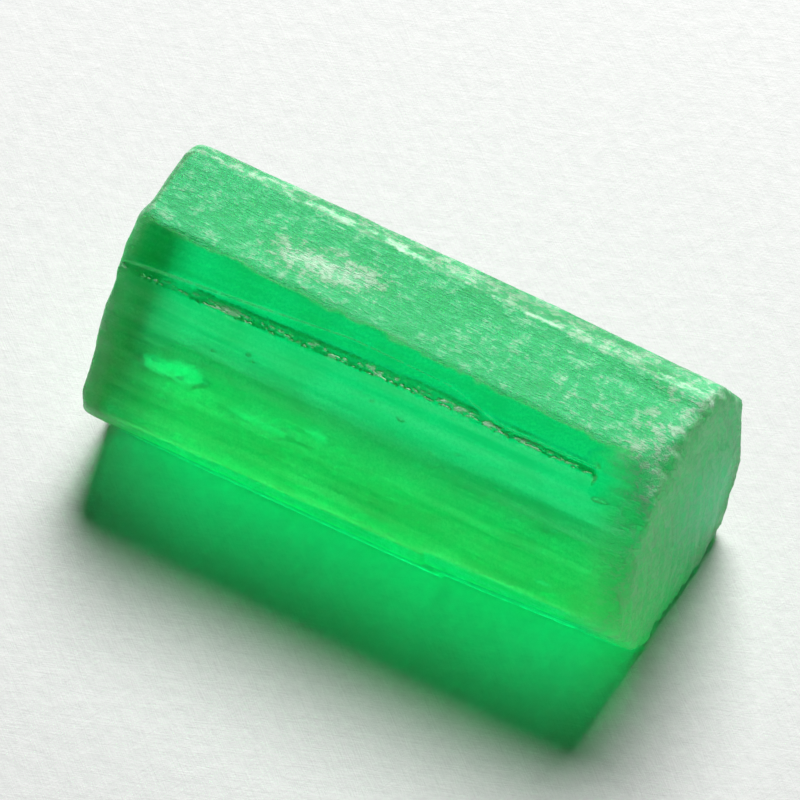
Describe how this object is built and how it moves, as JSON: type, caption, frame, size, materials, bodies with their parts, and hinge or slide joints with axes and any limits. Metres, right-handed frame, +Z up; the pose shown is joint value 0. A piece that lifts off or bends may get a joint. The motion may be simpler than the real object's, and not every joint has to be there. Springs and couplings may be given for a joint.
{
  "type": "raw emerald crystal",
  "caption": "Uncut green beryl prism, six-sided with bevelled edges, a fine ledge and broken frosted ends, lying on one prism face.",
  "frame": {"origin": "on the surface that it rests on, under the centre of the bounding box", "axes": "+X along the prism's long axis, towards the frosted broken end; +Z up; -Y towards the glassy front face"},
  "size_m": [0.0124, 0.0056, 0.0052],
  "materials": {
    "emerald": "glassy prism faces, frosted top and broken ends"
  },
  "bodies": {
    "root": {"emerald_crystal": "emerald"}
  },
  "joints": []
}
